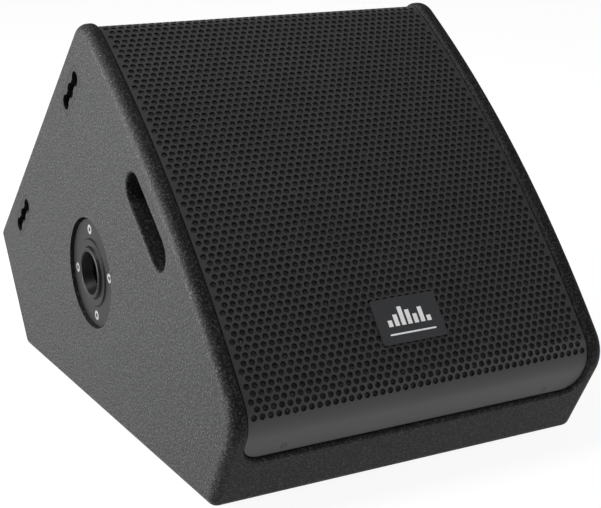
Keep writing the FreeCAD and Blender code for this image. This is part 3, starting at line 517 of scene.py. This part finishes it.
def plainStrip(columnX, start, stop, radius):
    # grid from the last row of cells to the sheet's end, with its two corners rounded
    half = columnX[-1]
    sign = 1 if stop > start else -1
    bend = stop - sign * radius
    straight = np.linspace(start, bend, max(2, int(abs(bend - start) / sheet["fine"])))
    turn = np.linspace(0, math.pi / 2, 10)[1:]
    rows = [(at, 1.0) for at in straight]
    rows += [(bend + sign * radius * math.sin(angle), 1 - radius * (1 - math.cos(angle)) / half)
             for angle in turn]
    if sign < 0:
        rows.reverse()
    return np.concatenate([quads(columnX * first[1], np.full(columnX.size, first[0]),
                                 columnX * second[1], np.full(columnX.size, second[0]))
                           for first, second in zip(rows, rows[1:])])


def perforatedGrille():
    pitch, clear, columns, rise = (sheet[key] for key in ("pitch", "clear", "columns", "rise"))
    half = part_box("grille")[1].x
    rows = int((sheetHigh - rise - clear * 2) / (pitch * math.sqrt(3) / 2))
    rows -= 1 - rows % 2
    x, along = hexCells(columns, rows)
    along = along + rise
    cells = punchedFaces(x, along)
    low, high = pitch / math.sqrt(12), pitch / math.sqrt(3)
    step = pitch * math.sqrt(3) / 2
    rowAlong = np.arange(rows) * step + rise
    sideX = np.repeat(columns * pitch / 2 - 0.5 * pitch * (np.arange(rows) % 2), 2)
    sideAlong = np.stack([rowAlong - low, rowAlong + low], 1).ravel()
    edge = np.full(sideX.size, half)
    right = quads(sideX, sideAlong, edge, sideAlong)[:, ::-1]
    left = quads(-edge, sideAlong, -sideX, sideAlong)[:, ::-1]
    zigX = (np.arange(2 * columns + 1) - columns) * pitch / 2
    zigDown = np.where(np.arange(zigX.size) % 2, -high, -low)
    columnX = np.concatenate([[-half], zigX, [half]])
    edgeLine = np.concatenate([[-low], zigDown, [-low]])
    lastRow = rowAlong[-1]
    lower = quads(columnX, np.full(columnX.size, rise - clear), columnX, rise + edgeLine)
    upper = quads(columnX, lastRow - edgeLine, columnX, np.full(columnX.size, lastRow + clear))
    strip = plainStrip(columnX, rise - clear, sheetLow, sheet["stripCorner"])
    tail = plainStrip(columnX, lastRow + clear, sheetHigh, sheet["tailCorner"])
    loops = [cells, right, left, lower, upper, strip, tail]
    flat = np.concatenate([loop.reshape(-1, 2) for loop in loops])
    unique, index = np.unique(np.round(flat, 7), axis=0, return_inverse=True)
    faces, start = [], 0
    index = index.ravel()
    for loop in loops:
        size = loop.shape[0] * loop.shape[1]
        faces += index[start:start + size].reshape(-1, loop.shape[1]).tolist()
        start += size
    piece = meshPiece("perforated_grille", onSheet(unique[:, 0], unique[:, 1]), faces)
    thicken(piece, sheet["thick"])
    print("grille holes", len(x), "rows", rows)
    finishPiece(piece, "cabinet", finishes["grille_steel"])
    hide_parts("grille")


perforatedGrille()
print("grille made")


# ---------------------------------------------------------------- emblem on the badge
emblem = {
    "lift": 0.00198, "rise": 0.00012, "bars": (0.35, 0.62, 1.0, 0.78, 0.5, 0.82, 0.3), "barWide": 0.0046,
    "gap": 0.0024, "tall": 0.0185, "lineWide": 0.05, "lineTall": 0.0016, "lineDown": 0.0135, "up": 0.0035,
    "points": 5,
}


def badgeAlong():
    # the badge's middle as a length up the sheet
    low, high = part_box("badge_plate")
    centre = sections[2][1]
    turn = math.atan2((low.z + high.z) / 2 - centre[1], (low.y + high.y) / 2 - centre[0])
    return sections[0][0] + sections[1][0] - noseStart + sections[2][2] * (sections[2][3] - turn)


def curvedPlate(x, along, wide, tall):
    # corner points of a small grid that follows the sheet, and its faces
    count = emblem["points"]
    share = np.linspace(-0.5, 0.5, count)
    across, up = np.meshgrid(share * wide, share * tall)
    points = onSheet((across + x).ravel(), (up + along).ravel(), emblem["lift"] + emblem["rise"])
    first = (np.arange(count - 1)[:, None] * count + np.arange(count - 1)).ravel()
    return points, np.stack([first, first + 1, first + count + 1, first + count], 1)


def badgeEmblem():
    # a row of level bars over a thin line
    middle = badgeAlong()
    step = emblem["barWide"] + emblem["gap"]
    start = -step * (len(emblem["bars"]) - 1) / 2
    foot = middle + emblem["up"] - emblem["tall"] / 2
    heights = [emblem["tall"] * share for share in emblem["bars"]]
    plates = [curvedPlate(start + step * index, foot + height / 2, emblem["barWide"], height)
              for index, height in enumerate(heights)]
    plates.append(curvedPlate(0.0, middle - emblem["lineDown"], emblem["lineWide"], emblem["lineTall"]))
    points = np.concatenate([plate[0] for plate in plates])
    faces = np.concatenate([plate[1] + emblem["points"] ** 2 * index for index, plate in enumerate(plates)])
    piece = meshPiece("badge_emblem", points, faces.tolist())
    thicken(piece, emblem["rise"])
    finishPiece(piece, "cabinet", mouldedPlastic("whiteInk", (0.86, 0.86, 0.86), 0.4))


badgeEmblem()
print("emblem made")
